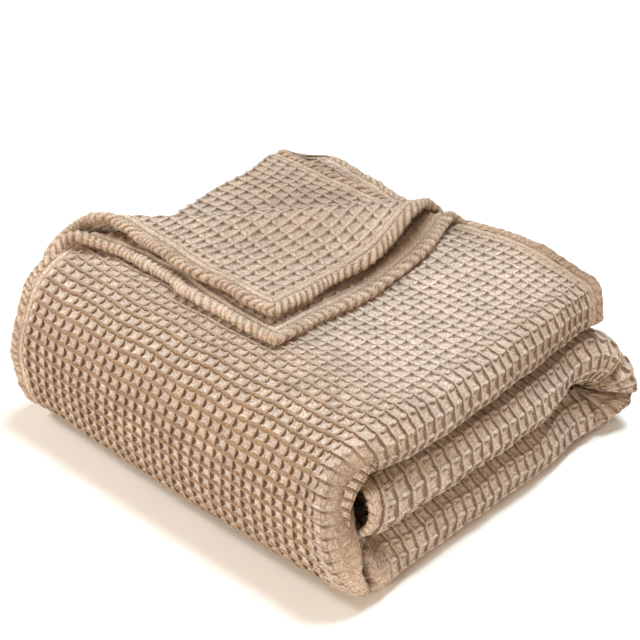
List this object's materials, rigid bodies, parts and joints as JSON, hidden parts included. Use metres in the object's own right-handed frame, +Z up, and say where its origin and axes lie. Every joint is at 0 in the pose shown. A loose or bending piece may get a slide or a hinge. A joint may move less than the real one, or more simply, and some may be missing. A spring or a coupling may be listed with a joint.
{
  "type": "fleece blanket",
  "caption": "Soft waffle fleece throw, folded into a flat stack with rounded folds and a corner turned back over its top.",
  "frame": {"origin": "under the middle of the folded stack, on the surface it lies on", "axes": "+Z up, +X towards the side with the rounded folds, -Y towards the big bend"},
  "size_m": [0.372, 0.3674, 0.1557],
  "materials": {
    "fleece": "short soft pile, matt"
  },
  "bodies": {
    "root": {"blanket": "fleece"}
  },
  "joints": []
}
